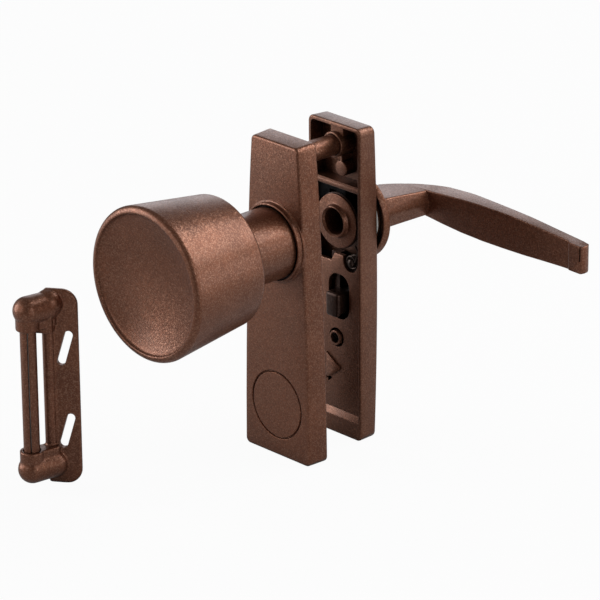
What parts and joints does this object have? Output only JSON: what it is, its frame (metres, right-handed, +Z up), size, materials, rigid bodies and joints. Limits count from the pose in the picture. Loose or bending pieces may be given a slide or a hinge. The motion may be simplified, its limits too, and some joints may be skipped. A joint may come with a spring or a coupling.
{
  "type": "knob latch set",
  "caption": "Latch set for a light door: outside knob on a tall plate, inside lever on an open housing with its latch and lock slide, and a roller strike.",
  "frame": {"origin": "middle of the set's footprint, on the surface the plates and the strike stand on", "axes": "+Y runs along the knob's and lever's turning axis from the knob to the lever, +Z is up along the plates, +X points to the lever's free end"},
  "size_m": [0.1384, 0.1652, 0.125],
  "materials": {
    "bronze_paint": "satin dark brown paint over die-cast zinc, with a slight metallic sheen",
    "plated_steel": "plated steel, slightly dulled",
    "zinc": "bare die-cast zinc, satin"
  },
  "bodies": {
    "frame": {"outside_escutcheon": "bronze_paint", "inside_housing": "bronze_paint", "mechanism_plate": "bronze_paint", "return_spring": "plated_steel", "spring_stud": "plated_steel", "upper_screw": "plated_steel", "strike_bracket": "bronze_paint", "strike_pin": "plated_steel"},
    "knob": {"knob": "bronze_paint", "knob_ring": "plated_steel"},
    "spindle": {"spindle": "plated_steel"},
    "lever": {"lever": "bronze_paint", "lever_hub": "bronze_paint", "hub_cam": "bronze_paint", "lever_washer": "plated_steel"},
    "bolt": {"latch_bolt": "zinc"},
    "lock": {"lock_bar": "bronze_paint", "lock_button": "bronze_paint"},
    "roller": {"strike_roller": "bronze_paint"}
  },
  "joints": [
    {"name": "knob_turn", "type": "hinge", "parent": "frame", "child": "knob", "pos_m": [-0.02361, 0.01779, 0.08575], "axis": [0, 1, 0], "range_deg": [-45, 45]},
    {"name": "spindle_slide", "type": "slide", "parent": "knob", "child": "spindle", "axis": [0, 1, 0], "range_m": [0, 0.015]},
    {"name": "lever_turn", "type": "hinge", "parent": "frame", "child": "lever", "pos_m": [-0.02361, 0.01779, 0.08575], "axis": [0, 1, 0], "range_deg": [0, 45], "stiffness_Nm_per_rad": 0.25, "springref_deg": -40.11},
    {"name": "bolt_slide", "type": "slide", "parent": "frame", "child": "bolt", "axis": [1, 0, 0], "range_m": [0, 0.00704]},
    {"name": "lock_slide", "type": "slide", "parent": "frame", "child": "lock", "axis": [0, 0, 1], "range_m": [0, 0.004]},
    {"name": "roller_turn", "type": "hinge", "parent": "frame", "child": "roller", "pos_m": [-0.06378, -0.07724, 0.0385], "axis": [0, 0, 1], "continuous": true}
  ],
  "couplings": [
    {"joint": "bolt_slide", "follows": "lever_turn", "m_per_rad": 0.00896}
  ]
}
